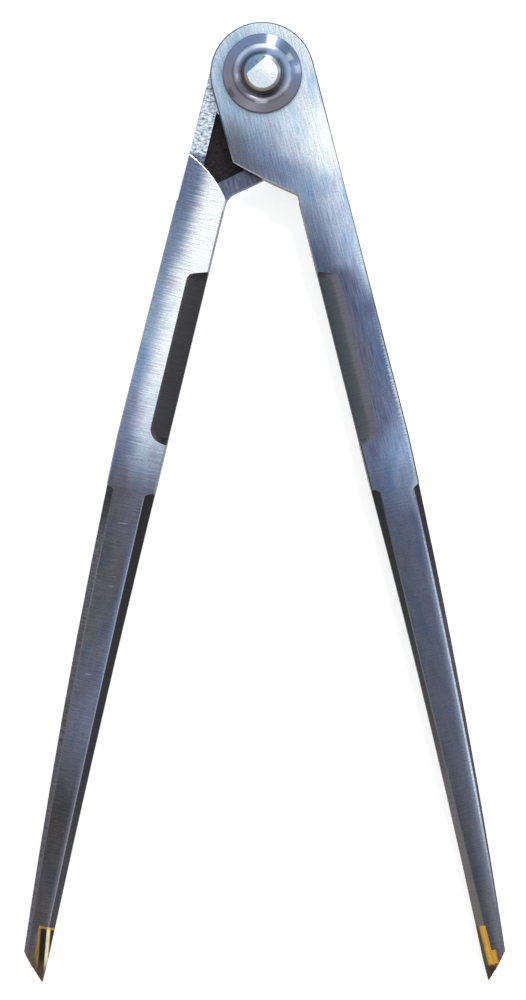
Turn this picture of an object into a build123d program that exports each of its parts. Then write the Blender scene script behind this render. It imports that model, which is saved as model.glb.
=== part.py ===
from build123d import *
import os
from math import acos, atan2, cos, hypot, radians, sin, tan
from types import SimpleNamespace

# Steel compass: two forged legs in a half-lap joint on one rivet, with hard-metal points brazed in.
# Millimetres. The pivot axis is Z, the front faces +Z and the head points to +Y.
# The origin lies on the pivot axis, on the flat of the rear rivet head.
# Each leg is made along its own axis first: x is the distance outwards from the line
# between pivot and point, y runs up to the head, and z = 0 is the middle of the thickness.

# Whole compass
opening_angle = 27.66        # between the two points, degrees
reach = 236.8                # pivot axis to point
head_radius = 13.2
leg_thickness = 8.0
tip_thickness = 5.0          # the ground faces run together towards the point
taper_start = 108.0          # where that taper begins, from the pivot
lap_gap = 0.05               # running gap between flat faces that turn on each other
bore_clearance = 0.05        # radial running clearance of the turning leg
seat_clearance = 0.01        # radial clearance of what the rivet holds fast
edge_break = 0.3             # small chamfer along the outer edges

# Outline of a leg, from above; grinding by hand left the two a little different
left_inner_gap = 1.45        # leg axis to the inner edge
right_inner_gap = 1.25
left_inner_straight = 125.0  # the inner edge is straight down to here
right_inner_straight = 108.0
inner_tail = 5.8             # and runs on the leg axis for this much before the point
left_inner_belly = 0.35      # bow of the inner edge between the two
right_inner_belly = 0.8
left_outer_widest = 14.15    # leg axis to the outer edge, where the leg is widest
right_outer_widest = 13.8
outer_widest_at = 97.0
left_outer_end = 6.35        # leg axis to the outer corner at the leg's end
right_outer_end = 5.9
end_slope = 6.8              # that corner lies this far above the point
outer_belly = 1.12           # bow of the outer edge down to it

# Cheek of the half-lap
cheek_side = 12.6            # leg axis to the cheek's lower corner
cheek_reach = 19.9           # pivot to that corner, along the leg
cheek_root = 31.6            # pivot to where the cheek's lower edge meets the inner edge
cheek_bow = 0.3
cheek_corner_radius = 0.6
left_root_radius = 4.5
right_root_radius = 0.9
shoulder_outer = 23.8        # pivot to the shoulder at the outer edge
shoulder_inner = 33.3        # pivot to the shoulder at the inner edge
shoulder_bow = 1.15

# Forged relief in the lap face
relief_margin = 4.0          # rim left along the cheek's edges
relief_depth = 0.9
relief_pad_radius = 14.7     # bearing pad left round the rivet
relief_corner = 0.8

# Finger scoop in the inner edge
scoop_top = 51.8             # pivot to its upper end, at the leg's edge
left_scoop_bottom = 97.0     # and to its lower end
right_scoop_bottom = 97.4
scoop_width = 4.95
scoop_top_slant = 1.7        # its ends lean by this much across the width
left_scoop_bottom_slant = 0.8
right_scoop_bottom_slant = 2.2
scoop_angle = 28.5           # slope of its floor, degrees
scoop_end_draft = 38.0
scoop_top_radius = 2.0
left_scoop_bottom_radius = 3.8
right_scoop_bottom_radius = 2.4
left_scoop_softening = 0.35  # narrow flat between floor and face
right_scoop_softening = 1.6

# Long bevels below it, on both edges of both faces
left_inner_bevel_top = 109.1  # pivot to its upper end, at the leg's edge
left_outer_bevel_top = 109.5
right_inner_bevel_top = 108.3
right_outer_bevel_top = 109.6
bevel_slope = 0.65           # how far that end leans for each mm of width
bevel_angle = 50.0
bevel_end_draft = 12.0
bevel_corner_radius = 1.3
bevel_softening = 0.3        # narrow flat between bevel and face
right_outer_bevel_softening = 0.5
left_inner_bevel = 2.6       # width at the upper end, halfway down and at the point
left_inner_bevel_middle = 2.0
left_inner_bevel_end = 1.4
left_outer_bevel = 2.2
left_outer_bevel_middle = 1.65
left_outer_bevel_end = 1.0
right_inner_bevel = 2.15
right_inner_bevel_middle = 1.4
right_inner_bevel_end = 2.2
right_outer_bevel = 2.1
right_outer_bevel_middle = 1.35
right_outer_bevel_end = 0.5

# Brazed points
insert_length = 13.9         # top of the insert to the point
left_insert_width = 3.15
right_insert_width = 2.25
braze_top = 0.4              # braze above the insert
left_braze_side = 0.95       # and along its outer side
right_braze_side = 0.3
right_foot_width = 1.1       # braze that ran onto the right leg's face
right_foot_length = 3.5
right_foot_depth = 0.5
right_film_gap = 4.3         # the braze over the right insert stops this far above the point
point_width = 0.75           # thickness of the ground point
grind_side = 2.5             # the point's front facet, across
grind_ridge_top = 1.9        # ridge between the two facets, from the axis, at the insert's top
grind_ridge_end = 0.5        # and at the point
grind_step_top = 0.45        # the facet's outer side lies this far below the leg's face
grind_step_end = 0.9
grind_drop_top = 0.7         # and the ridge this far
grind_drop_end = 1.5

# Rivet and washers
shank_radius = 4.0
rivet_head_radius = 5.0
rivet_head_rise = 2.4        # above the face that the washer lies on
rivet_head_round = 0.9
head_rim = 3.2               # rim of the head left outside the washer
washer_rim = 1.3             # height at the rim
washer_shelf = 1.55          # height at the foot of the ridge
washer_shelf_radius = 7.45
washer_crest = 2.05          # height of the ridge
washer_crest_radius = 6.8
washer_crest_width = 0.7
washer_crest_break = 0.2
washer_floor = 1.0           # thickness under the rivet head
washer_floor_radius = 5.15
washer_rim_break = 0.2

past = 3.0                   # how far a cutting body runs past what it cuts

half = leg_thickness / 2
middle = rivet_head_rise + lap_gap + half
inner_end = reach - inner_tail
outer_end_at = reach - end_slope
insert_top = reach - insert_length
right_film_end = reach - right_film_gap
washer_radius = head_radius - head_rim

left_form = SimpleNamespace(
    inner_gap=left_inner_gap,
    inner_straight=left_inner_straight,
    inner_belly=left_inner_belly,
    outer_widest=left_outer_widest,
    outer_end=left_outer_end,
    root_radius=left_root_radius,
    scoop_bottom=left_scoop_bottom,
    scoop_bottom_slant=left_scoop_bottom_slant,
    scoop_bottom_radius=left_scoop_bottom_radius,
    scoop_softening=left_scoop_softening,
    inner_bevel_top=left_inner_bevel_top,
    inner_bevel=(left_inner_bevel, left_inner_bevel_middle, left_inner_bevel_end),
    outer_bevel_top=left_outer_bevel_top,
    outer_bevel=(left_outer_bevel, left_outer_bevel_middle, left_outer_bevel_end),
    outer_bevel_softening=bevel_softening,
    bore=shank_radius + seat_clearance,
)
right_form = SimpleNamespace(
    inner_gap=right_inner_gap,
    inner_straight=right_inner_straight,
    inner_belly=right_inner_belly,
    outer_widest=right_outer_widest,
    outer_end=right_outer_end,
    root_radius=right_root_radius,
    scoop_bottom=right_scoop_bottom,
    scoop_bottom_slant=right_scoop_bottom_slant,
    scoop_bottom_radius=right_scoop_bottom_radius,
    scoop_softening=right_scoop_softening,
    inner_bevel_top=right_inner_bevel_top,
    inner_bevel=(right_inner_bevel, right_inner_bevel_middle, right_inner_bevel_end),
    outer_bevel_top=right_outer_bevel_top,
    outer_bevel=(right_outer_bevel, right_outer_bevel_middle, right_outer_bevel_end),
    outer_bevel_softening=right_outer_bevel_softening,
    bore=shank_radius + bore_clearance,
)


def outer_edge(form, u):
    """Distance from the leg axis to the outer edge, at u from the pivot."""
    if u <= outer_widest_at:
        return head_radius + (form.outer_widest - head_radius) * u / outer_widest_at
    s = (u - outer_widest_at) / (outer_end_at - outer_widest_at)
    return form.outer_widest + (form.outer_end - form.outer_widest) * s + 4 * outer_belly * s * (1 - s)


def inner_edge(form, u):
    """Distance from the leg axis to the inner edge, at u from the pivot."""
    if u <= form.inner_straight:
        return form.inner_gap
    s = min(1.0, (u - form.inner_straight) / (inner_end - form.inner_straight))
    return form.inner_gap * (1 - s) + 4 * form.inner_belly * s * (1 - s)


def face_height(u):
    """Height of the leg's face above the middle of its thickness."""
    s = max(0.0, (u - taper_start) / (reach - taper_start))
    return half - (half - tip_thickness / 2) * s


def outline(form):
    """Outline of leg, cheek and head together."""
    outer_middle_at = (outer_widest_at + outer_end_at) / 2
    inner_middle_at = (form.inner_straight + inner_end) / 2
    corner = (-cheek_side, -cheek_reach)
    turn = atan2(cheek_reach, cheek_side) - acos(head_radius / hypot(*corner))
    tangent = (-head_radius * cos(turn), -head_radius * sin(turn))
    root = (form.inner_gap, -cheek_root)
    widest = (form.outer_widest, -outer_widest_at)
    end_corner = (form.outer_end, -outer_end_at)
    straight_end = (form.inner_gap, -form.inner_straight)
    edges = [
        Line((head_radius, 0), widest),
        ThreePointArc(widest, (outer_edge(form, outer_middle_at), -outer_middle_at), end_corner),
        Line(end_corner, (0, -reach)),
        Line((0, -reach), (0, -inner_end)),
        ThreePointArc((0, -inner_end), (inner_edge(form, inner_middle_at), -inner_middle_at), straight_end),
        Line(straight_end, root),
        bowed(root, corner, cheek_bow),
        Line(corner, tangent),
        ThreePointArc(tangent, (0, head_radius), (head_radius, 0)),
    ]
    face = make_face(edges)
    face = fillet(nearest(face, corner), cheek_corner_radius)
    return fillet(nearest(face, root), form.root_radius)


def bowed(start, end, bow):
    """Arc from start to end that swells by bow to the left of the way it runs."""
    length = hypot(end[0] - start[0], end[1] - start[1])
    across = ((start[1] - end[1]) / length, (end[0] - start[0]) / length)
    middle_point = tuple((a + b) / 2 + bow * c for a, b, c in zip(start, end, across))
    return ThreePointArc(start, middle_point, end)


def nearest(shape, point):
    """The corner of a flat shape that lies at point."""
    return shape.vertices().sort_by_distance((point[0], point[1], 0))[0]


def above_shoulder(form):
    """Everything on the head's side of the shoulder, from above, past both edges of the leg."""
    outer = (outer_edge(form, shoulder_outer), -shoulder_outer)
    inner = (form.inner_gap, -shoulder_inner)
    line = bowed(outer, inner, -shoulder_bow)
    beyond = line @ 1 + (line % 1) * (form.inner_gap + cheek_side + past)
    wide = head_radius + past
    return make_face([
        line,
        Polyline(line @ 1, beyond, (-wide, beyond.Y), (-wide, wide), (wide, wide), (wide, -shoulder_outer), outer),
    ])


def both_faces(cutter):
    """A cutting body for the front face and its mirror image for the back."""
    return [cutter, mirror(cutter, about=Plane.XY)]


def bevel_section(u, edge, side, width, angle, softening):
    """Section of a bevel's cutting body at u; side is 1 at the outer edge and -1 at the inner."""
    start = edge - side * width
    top = face_height(u)
    soft_drop = softening * tan(radians(angle / 2))
    run = width - softening + past
    points = [
        (start, top),
        (start + side * softening, top - soft_drop),
        (start + side * (width + past), top - soft_drop - run * tan(radians(angle))),
        (start + side * (width + past), top + past),
        (start, top + past),
    ]
    plane = Plane(origin=(0, -u, 0), x_dir=(1, 0, 0), z_dir=(0, -1, 0))
    return plane * make_face(Polyline(*points, close=True))


def run_past(corner, at_edge, distance):
    """Point on the line from corner through at_edge, the given distance across the leg past the edge."""
    share = distance / abs(at_edge[0] - corner[0])
    return tuple(b + (b - a) * share for a, b in zip(corner, at_edge))


def end_shape(points, rounded, draft):
    """Body that limits a bevel or scoop in plan, with rounded corners and sloping end walls."""
    shape = make_face(Polyline(*points, close=True))
    for point, radius in rounded:
        shape = fillet(nearest(shape, point), radius)
    top = Pos(0, 0, half) * shape
    return extrude(top, amount=-half, taper=draft) + extrude(top, amount=past)


def scoop(form):
    """Finger scoop in the inner edge of the front face."""
    start = form.inner_gap + scoop_width
    wedge = loft([
        bevel_section(u, form.inner_gap, -1, scoop_width, scoop_angle, form.scoop_softening)
        for u in (scoop_top - past, form.scoop_bottom + past)
    ], ruled=True)
    top_corner = (start, -scoop_top - scoop_top_slant)
    bottom_corner = (start, -form.scoop_bottom + form.scoop_bottom_slant)
    top_open = run_past(top_corner, (form.inner_gap, -scoop_top), 2 * past)
    bottom_open = run_past(bottom_corner, (form.inner_gap, -form.scoop_bottom), 2 * past)
    limits = end_shape(
        [top_corner, bottom_corner, bottom_open, top_open],
        [(top_corner, scoop_top_radius), (bottom_corner, form.scoop_bottom_radius)],
        scoop_end_draft,
    )
    return wedge & limits


def long_bevel(edge, side, top, widths, softening):
    """Bevel from top to the leg's end, along the outer (1) or inner (-1) edge."""
    width, width_middle, width_end = widths

    def width_at(u):
        s = (u - top) / (reach - top)
        bend = 4 * width_middle - 2 * (width + width_end)
        return width + (width_end - width) * s + bend * s * (1 - s)

    wedge = loft([
        bevel_section(u, edge(u), side, width_at(u), bevel_angle, softening)
        for u in (top - past, (top + reach) / 2, reach + past)
    ])
    corner_at = top + bevel_slope * width
    corner = (edge(corner_at) - side * width_at(corner_at), -corner_at)
    top_open = run_past(corner, (edge(top), -top), past)
    bottom = (edge(reach) - side * (width_end + past), -reach - past)
    limits = end_shape(
        [corner, bottom, (top_open[0], -reach - past), top_open],
        [(corner, bevel_corner_radius)],
        bevel_end_draft,
    )
    return wedge & limits


def face_taper():
    """What the front face loses between taper_start and the point."""
    low = face_height(reach + past)
    points = [(-taper_start, half), (-reach - past, low), (-reach - past, half + past), (-taper_start, half + past)]
    section = make_face(Polyline(*points, close=True))
    return extrude(Plane.YZ * section, amount=2 * head_radius, both=True)


def relief(form):
    """Forged relief in the lap face, between the bearing pad, the cheek's rims and the shoulder."""
    slope = hypot(cheek_root - cheek_reach, form.inner_gap + cheek_side)
    along = ((form.inner_gap + cheek_side) / slope, -(cheek_root - cheek_reach) / slope)
    shift = (-relief_margin * along[1], relief_margin * along[0])
    inner_side = -cheek_side + relief_margin
    outer_side = head_radius - relief_margin
    low = (-cheek_side + shift[0], -cheek_reach + shift[1])

    def on_lower_edge(x):
        return (x, low[1] + (x - low[0]) * along[1] / along[0])

    shape = make_face(Polyline(
        (inner_side, head_radius), on_lower_edge(inner_side), on_lower_edge(outer_side + past),
        (outer_side + past, -shoulder_inner), (outer_side, -shoulder_inner), (outer_side, head_radius), close=True,
    ))
    shape = fillet(nearest(shape, on_lower_edge(inner_side)), relief_corner)
    shape = shape & above_shoulder(form)
    shape = shape - Circle(relief_pad_radius)
    below_pad = Pos(0, -head_radius - reach / 2) * Rectangle(4 * head_radius, reach + 2 * head_radius)
    return shape & below_pad


def make_leg(form):
    """A whole leg along its own axis, cheek in front, before its end is let out for the insert."""
    blank = extrude(outline(form), amount=half, both=True)
    rims = blank.faces().filter_by(Axis.Z).edges()
    leg = chamfer(rims, edge_break)

    def inner(u):
        return inner_edge(form, u)

    def outer(u):
        return outer_edge(form, u)

    cutters = both_faces(face_taper())
    cutters += both_faces(scoop(form))
    cutters += both_faces(long_bevel(inner, -1, form.inner_bevel_top, form.inner_bevel, bevel_softening))
    cutters += both_faces(
        long_bevel(outer, 1, form.outer_bevel_top, form.outer_bevel, form.outer_bevel_softening))
    for cutter in cutters:
        leg -= cutter
    lap_face = lap_gap / 2
    region = above_shoulder(form)
    leg -= extrude(Pos(0, 0, lap_face) * region, amount=-leg_thickness)
    wider = offset(region, edge_break, kind=Kind.INTERSECTION)
    leg -= extrude(Pos(0, 0, -half) * wider, amount=edge_break, taper=45)
    leg -= extrude(Pos(0, 0, lap_face) * relief(form), amount=relief_depth)
    return leg - Cylinder(form.bore, 2 * leg_thickness)


def insert_region(width, top):
    """Front view of the insert's place: from top to past the point, out to width."""
    length = reach + past - top
    return Pos((width - past) / 2, -top - length / 2) * Rectangle(width + past, length)


def prism(region):
    """The region through the whole thickness."""
    return extrude(region, amount=leg_thickness, both=True)


def grind_section(u, ridge, side_drop, ridge_drop):
    """Section of what is ground off the insert's front at u."""
    top = face_height(u)
    axis_drop = (tip_thickness - point_width) / 2
    fall = (axis_drop - ridge_drop) / ridge
    points = [
        (grind_side + past, top - side_drop),
        (grind_side, top - side_drop),
        (ridge, top - ridge_drop),
        (-past, top - ridge_drop - fall * (ridge + past)),
        (-past, top + past),
        (grind_side + past, top + past),
    ]
    plane = Plane(origin=(0, -u, 0), x_dir=(1, 0, 0), z_dir=(0, -1, 0))
    return plane * make_face(Polyline(*points, close=True))


def point_grind():
    """What is ground off the insert's front, down to the point."""
    return loft([
        grind_section(insert_top - braze_top / 2, grind_ridge_top, grind_step_top, grind_drop_top),
        grind_section(reach, grind_ridge_end, grind_step_end, grind_drop_end),
    ], ruled=True)


def washer():
    """Dished washer with a turned ridge round the rivet head, lying on z = 0."""
    bore = shank_radius + seat_clearance
    crest_outer = (washer_crest_radius + washer_crest_width / 2, washer_crest)
    crest_inner = (washer_crest_radius - washer_crest_width / 2, washer_crest)
    section = make_face(Polyline(
        (bore, 0), (washer_radius, 0), (washer_radius, washer_rim - washer_rim_break),
        (washer_radius - washer_rim_break, washer_rim), (washer_shelf_radius, washer_shelf),
        crest_outer, crest_inner, (washer_floor_radius, washer_floor), (bore, washer_floor), close=True,
    ))
    section = chamfer([nearest(section, point) for point in (crest_outer, crest_inner)], washer_crest_break)
    return revolve(Plane.XZ * section, Axis.Z)


def rivet():
    """Rivet with a flat, rounded head on both ends, centred on the middle of the legs."""
    top = half + lap_gap + rivet_head_rise
    seat = half + lap_gap + washer_floor
    section = make_face(Polyline(
        (0, -top), (rivet_head_radius, -top), (rivet_head_radius, -seat), (shank_radius, -seat),
        (shank_radius, seat), (rivet_head_radius, seat), (rivet_head_radius, top), (0, top), close=True,
    ))
    section = fillet([nearest(section, (rivet_head_radius, s * top)) for s in (-1, 1)], rivet_head_round)
    return revolve(Plane.XZ * section, Axis.Z)


def brazed_end(blank, width, side):
    """Leg, insert and braze at a leg's end; the braze fills the pocket round the insert."""
    pocket = prism(insert_region(width + side, insert_top - braze_top))
    seat = prism(insert_region(width, insert_top))
    insert = blank & seat
    for cutter in both_faces(point_grind()):
        insert -= cutter
    braze = (blank & pocket) - seat
    return blank - pocket, insert, braze


def spilled_braze(blank, insert):
    """Braze that has run over the right insert's front, and a foot of it on the leg's face."""
    film_width = right_insert_width + right_braze_side
    film_length = right_film_end - insert_top + braze_top
    film_centre = ((film_width - past) / 2, film_length / 2 - right_film_end)
    film_region = Pos(*film_centre) * Rectangle(film_width + past, film_length)
    film = (blank & extrude(film_region, amount=leg_thickness)) - insert
    foot_centre = (film_width + right_foot_width / 2, right_foot_length / 2 - right_film_end)
    foot_region = Pos(*foot_centre) * Rectangle(right_foot_width, right_foot_length)
    foot_floor = face_height(right_film_end) - right_foot_depth
    foot = blank & extrude(Pos(0, 0, foot_floor) * foot_region, amount=leg_thickness)
    return film, foot


def place(shape, side):
    """Set a leg's piece in the compass; side is 1 for the right leg and -1 for the left."""
    turned = shape if side > 0 else Rot(0, 180, 0) * shape
    return Pos(0, 0, middle) * Rot(0, 0, side * opening_angle / 2) * turned


right_blank = make_leg(right_form)
left_blank = make_leg(left_form)
right_leg, right_insert, right_braze = brazed_end(right_blank, right_insert_width, right_braze_side)
left_leg, left_insert, left_braze = brazed_end(left_blank, left_insert_width, left_braze_side)
film, foot = spilled_braze(right_blank, right_insert)
right_leg -= foot
right_braze += film + foot

front_washer = Pos(0, 0, middle + half + lap_gap) * washer()
rear_washer = Pos(0, 0, middle - half - lap_gap) * Rot(180, 0, 0) * washer()
pivot_rivet = Pos(0, 0, middle) * rivet()

parts = {
    "right_leg": place(right_leg, 1),
    "right_carbide_point": place(right_insert, 1),
    "right_braze": place(right_braze, 1),
    "left_leg": place(left_leg, -1),
    "left_carbide_point": place(left_insert, -1),
    "left_braze": place(left_braze, -1),
    "front_washer": front_washer,
    "rear_washer": rear_washer,
    "pivot_rivet": pivot_rivet,
}

os.makedirs("parts", exist_ok=True)
for name, part in parts.items():
    part.label = name
    export_step(part, f"parts/{name}.step")
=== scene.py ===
# Steel compass: two forged and ground legs on one rivet, with carbide points brazed in.
# Metres, in the part's own frame: +Z is the pivot axis towards the viewer, +Y runs up to the head.
import math

import bmesh
import bpy
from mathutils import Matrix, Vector, noise


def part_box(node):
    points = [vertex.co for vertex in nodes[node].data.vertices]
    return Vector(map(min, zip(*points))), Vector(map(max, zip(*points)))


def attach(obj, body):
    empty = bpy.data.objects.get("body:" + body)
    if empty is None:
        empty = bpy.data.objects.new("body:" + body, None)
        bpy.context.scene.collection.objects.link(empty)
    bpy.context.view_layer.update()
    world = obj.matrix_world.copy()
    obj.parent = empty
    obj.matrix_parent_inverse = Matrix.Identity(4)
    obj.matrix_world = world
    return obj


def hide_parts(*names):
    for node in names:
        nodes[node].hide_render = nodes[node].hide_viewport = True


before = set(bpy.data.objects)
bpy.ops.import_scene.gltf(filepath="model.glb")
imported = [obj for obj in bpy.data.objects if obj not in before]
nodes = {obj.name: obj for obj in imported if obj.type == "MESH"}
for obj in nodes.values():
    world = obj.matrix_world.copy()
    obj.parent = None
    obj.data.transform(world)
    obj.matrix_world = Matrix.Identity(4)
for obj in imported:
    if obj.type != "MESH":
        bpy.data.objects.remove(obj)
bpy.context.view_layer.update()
mm = 0.001
samePlace = 0.01             # mm, measures this close are one
cutReach = 1e-7              # m, the same for a cut through a mesh

whole = {
    "openingAngle": 27.66,   # degrees between the two points
    "middle": 6.45,          # mm, middle of the legs' thickness above the rest
    "face": 4.0,             # mm, from there to a leg's face
    "tipFace": 2.5,          # the same at the point
    "taperStart": 108.0,     # mm below the pivot, where the faces start to run together
    "reach": 236.8,          # mm, pivot to point
}


def srgb(code):
    # hex colour to the linear one that nodes take
    channels = [int(code[i:i + 2], 16) / 255 for i in (1, 3, 5)]
    linear = [c / 12.92 if c <= 0.04045 else ((c + 0.055) / 1.055) ** 2.4 for c in channels]
    return (*linear, 1.0)


def addNode(tree, kind, inputs=None, stops=None, **settings):
    node = tree.nodes.new(kind)
    for name, value in settings.items():
        setattr(node, name, value)
    for key, value in (inputs or {}).items():
        if isinstance(value, bpy.types.NodeSocket):
            tree.links.new(value, node.inputs[key])
        else:
            node.inputs[key].default_value = value
    for index, (place, colour) in enumerate(stops or []):
        elements = node.color_ramp.elements
        element = elements[index] if index < 2 else elements.new(place)
        element.position = place
        element.color = srgb(colour)
    if stops and len(stops) == 1:
        node.color_ramp.elements.remove(node.color_ramp.elements[1])
    return node


def newMaterial(name):
    material = bpy.data.materials.new(name)
    material.use_nodes = True
    material.node_tree.nodes.clear()
    return material, material.node_tree


# Camera: straight above the opened compass, as the photograph is taken
cameraPlace = {
    "distance": 660.0,       # mm above the front face
    "centreX": -0.21,        # mm, where the camera looks
    "centreY": -107.6,
    "viewHeight": 252.5,     # mm across the long side at the front face
    "roll": -0.2,            # degrees
    "near": 0.01,            # m, clipping
    "far": 20.0,
}


def makeCamera(s):
    data = bpy.data.cameras.new("camera")
    data.lens = data.sensor_width * s["distance"] / s["viewHeight"]
    data.clip_start = s["near"]
    data.clip_end = s["far"]
    camera = bpy.data.objects.new("camera", data)
    height = whole["middle"] + whole["face"] + s["distance"]
    camera.location = Vector((s["centreX"], s["centreY"], height)) * mm
    camera.rotation_euler = (0.0, 0.0, math.radians(s["roll"]))
    bpy.context.scene.collection.objects.link(camera)
    bpy.context.scene.camera = camera


makeCamera(cameraPlace)
print("camera placed")

# World: white to the camera and in reflections, dimmer as a light
worldLight = {"fill": 0.45, "seen": 1.0}


def seenShare(tree):
    # 1 for what the camera sees, directly, in a reflection or through glass
    path = addNode(tree, "ShaderNodeLightPath")
    seen = path.outputs["Is Camera Ray"]
    for ray in ("Is Glossy Ray", "Is Transmission Ray"):
        seen = addNode(tree, "ShaderNodeMath", {0: seen, 1: path.outputs[ray]}, operation="MAXIMUM").outputs[0]
    return seen


def makeWorld(s):
    world = bpy.data.worlds.new("studio")
    bpy.context.scene.world = world
    world.use_nodes = True
    tree = world.node_tree
    tree.nodes.clear()
    strength = addNode(tree, "ShaderNodeMapRange",
                       {"Value": seenShare(tree), "To Min": s["fill"], "To Max": s["seen"]})
    sky = addNode(tree, "ShaderNodeBackground", {"Color": srgb("#FFFFFF"), "Strength": strength.outputs[0]})
    addNode(tree, "ShaderNodeOutputWorld", {"Surface": sky.outputs[0]})


makeWorld(worldLight)

# Floor: a pale table that touches the rear rivet head and both leg ends
floorPlate = {
    "size": 6.0,             # m
    "tilt": 0.995,           # degrees, up towards the points
    "drop": 0.067,           # mm, under the rivet
    "colour": "#F2F2F2",
    "glow": 0.68,            # added where it is seen, so that it comes out white
}


def makeFloor(s):
    bpy.ops.mesh.primitive_plane_add(size=s["size"])
    floor = bpy.context.object
    floor.name = "floor"
    floor.rotation_euler = (math.radians(-s["tilt"]), 0.0, 0.0)
    floor.location.z = -s["drop"] * mm
    material, tree = newMaterial("paleTable")
    strength = addNode(tree, "ShaderNodeMath", {0: seenShare(tree), 1: s["glow"]}, operation="MULTIPLY")
    matt = addNode(tree, "ShaderNodeBsdfDiffuse", {"Color": srgb(s["colour"])})
    glow = addNode(tree, "ShaderNodeEmission", {"Color": srgb("#FFFFFF"), "Strength": strength.outputs[0]})
    both = addNode(tree, "ShaderNodeAddShader", {0: matt.outputs[0], 1: glow.outputs[0]})
    addNode(tree, "ShaderNodeOutputMaterial", {"Surface": both.outputs[0]})
    floor.data.materials.append(material)


makeFloor(floorPlate)

# Lamps: place and aim in mm, size in mm, and watts
lamps = {
    "keyLight": {"place": (132.0, 503.0, 620.0), "aim": (0.0, 0.0), "size": 70.0, "watts": 1.4,
                 "colour": "#FFFFFF"},
    "sideLight": {"place": (480.0, 200.0, 620.0), "aim": (0.0, 0.0), "size": 60.0, "watts": 0.5,
                  "colour": "#F4F8FF"},
}


def addLamp(name, s):
    data = bpy.data.lights.new(name, "AREA")
    data.size = s["size"] * mm
    data.energy = s["watts"]
    data.color = srgb(s["colour"])[:3]
    lamp = bpy.data.objects.new(name, data)
    lamp.location = Vector(s["place"]) * mm
    aim = Vector((*s["aim"], 0.0)) * mm
    lamp.rotation_mode = "QUATERNION"
    lamp.rotation_quaternion = (aim - lamp.location).to_track_quat("-Z", "Y")
    bpy.context.scene.collection.objects.link(lamp)


for lampName, lampPlace in lamps.items():
    addLamp(lampName, lampPlace)

# Overhead card that only reflections see: a little brighter towards the head and the right
overhead = {
    "height": 900.0,         # mm
    "size": 2400.0,
    "dark": 0.92,            # strength up to "from" and past "to", in m along the card
    "bright": 1.02,
    "from": -0.35,
    "to": 0.2,
    "turn": -28.0,           # degrees from the compass's own up
}


def makeOverhead(s):
    bpy.ops.mesh.primitive_plane_add(size=s["size"] * mm, location=(0.0, 0.0, s["height"] * mm))
    card = bpy.context.object
    card.name = "overheadCard"
    material, tree = newMaterial("overheadCard")
    where = addNode(tree, "ShaderNodeTexCoord")
    turned = addNode(tree, "ShaderNodeVectorRotate",
                     {"Vector": where.outputs["Object"], "Angle": math.radians(-s["turn"])},
                     rotation_type="Z_AXIS")
    axes = addNode(tree, "ShaderNodeSeparateXYZ", {0: turned.outputs[0]})
    level = addNode(tree, "ShaderNodeMapRange",
                    {"Value": axes.outputs["Y"], "From Min": s["from"], "From Max": s["to"],
                     "To Min": s["dark"], "To Max": s["bright"]}, interpolation_type="SMOOTHSTEP")
    glow = addNode(tree, "ShaderNodeEmission", {"Color": srgb("#FFFFFF"), "Strength": level.outputs[0]})
    addNode(tree, "ShaderNodeOutputMaterial", {"Surface": glow.outputs[0]})
    card.data.materials.append(material)
    card.visible_camera = False
    card.visible_diffuse = False
    card.visible_shadow = False
    card.visible_transmission = False


makeOverhead(overhead)
bpy.context.scene.view_settings.view_transform = "Standard"
print("studio built")

# Legs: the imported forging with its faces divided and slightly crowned, as hand grinding leaves them
legForm = {
    "weld": 0.002,           # mm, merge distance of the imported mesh
    "flatAngle": 0.2,        # degrees, what counts as one flat
    "first": -12.0,          # mm, first cut below the pivot and first cut along the leg
    "stations": 3.0,         # mm between cuts across the leg
    "rows": 2.0,             # mm between cuts along its flat faces
    "rowSpan": 26.0,         # mm, what those cover
    "lowestFace": 2.4,       # mm from the middle of the thickness, a flat below that isn't a ground face
    "crown": 0.06,           # mm, how far a face falls away at the leg's edges
    "leastWidth": 0.1,       # mm, for a face that runs out
    "sharpAngle": 3.0,       # degrees, edges over this stay sharp
    "innerEdge": 1.5,        # mm from the leg's axis, for the part beside the shoulder
    "shoulderStart": 23.0,   # mm below the pivot
    "shoulderEnd": 36.0,
    "shoulderBreak": 0.30,   # mm, edge broken along the top of the shoulder
    "shoulderLift": 0.17,    # mm, by which the break is flatter than 45 degrees
}
slopes = {"flat": 0.999, "floor": 0.8, "break": 0.7071, "wall": 0.1}   # 1 is level, 0 upright


def legAxes(side):
    half = math.radians(whole["openingAngle"] / 2)
    outward = Vector((side * math.cos(half), math.sin(half), 0.0))
    upward = Vector((-side * math.sin(half), math.cos(half), 0.0))
    return outward, upward


def faceHeight(down):
    t = max(0.0, (down - whole["taperStart"]) / (whole["reach"] - whole["taperStart"]))
    return whole["face"] - (whole["face"] - whole["tipFace"]) * t


def packedCopy(name):
    bm = bmesh.new()
    bm.from_mesh(nodes[name].data)
    bmesh.ops.remove_doubles(bm, verts=bm.verts, dist=legForm["weld"] * mm)
    bmesh.ops.dissolve_limit(bm, angle_limit=math.radians(legForm["flatAngle"]), verts=bm.verts,
                             edges=bm.edges, delimit={"NORMAL"})
    return bm


def legPlace(point, side):
    # mm outwards from the leg's axis, down from the pivot and up from the middle of the thickness
    outward, upward = legAxes(side)
    return point.dot(outward) / mm, -point.dot(upward) / mm, point.z / mm - whole["middle"]


def isGroundFace(face, side):
    height = legPlace(face.calc_center_median(), side)[2]
    return abs(face.normal.z) > slopes["flat"] and abs(height) > legForm["lowestFace"]


def roundEdges(bm, edges, amount, segments):
    made = bmesh.ops.bevel(bm, geom=edges, offset=amount * mm, offset_type="OFFSET", segments=segments,
                           profile=0.5, affect="EDGES", material=-1)
    return made["faces"]


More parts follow.
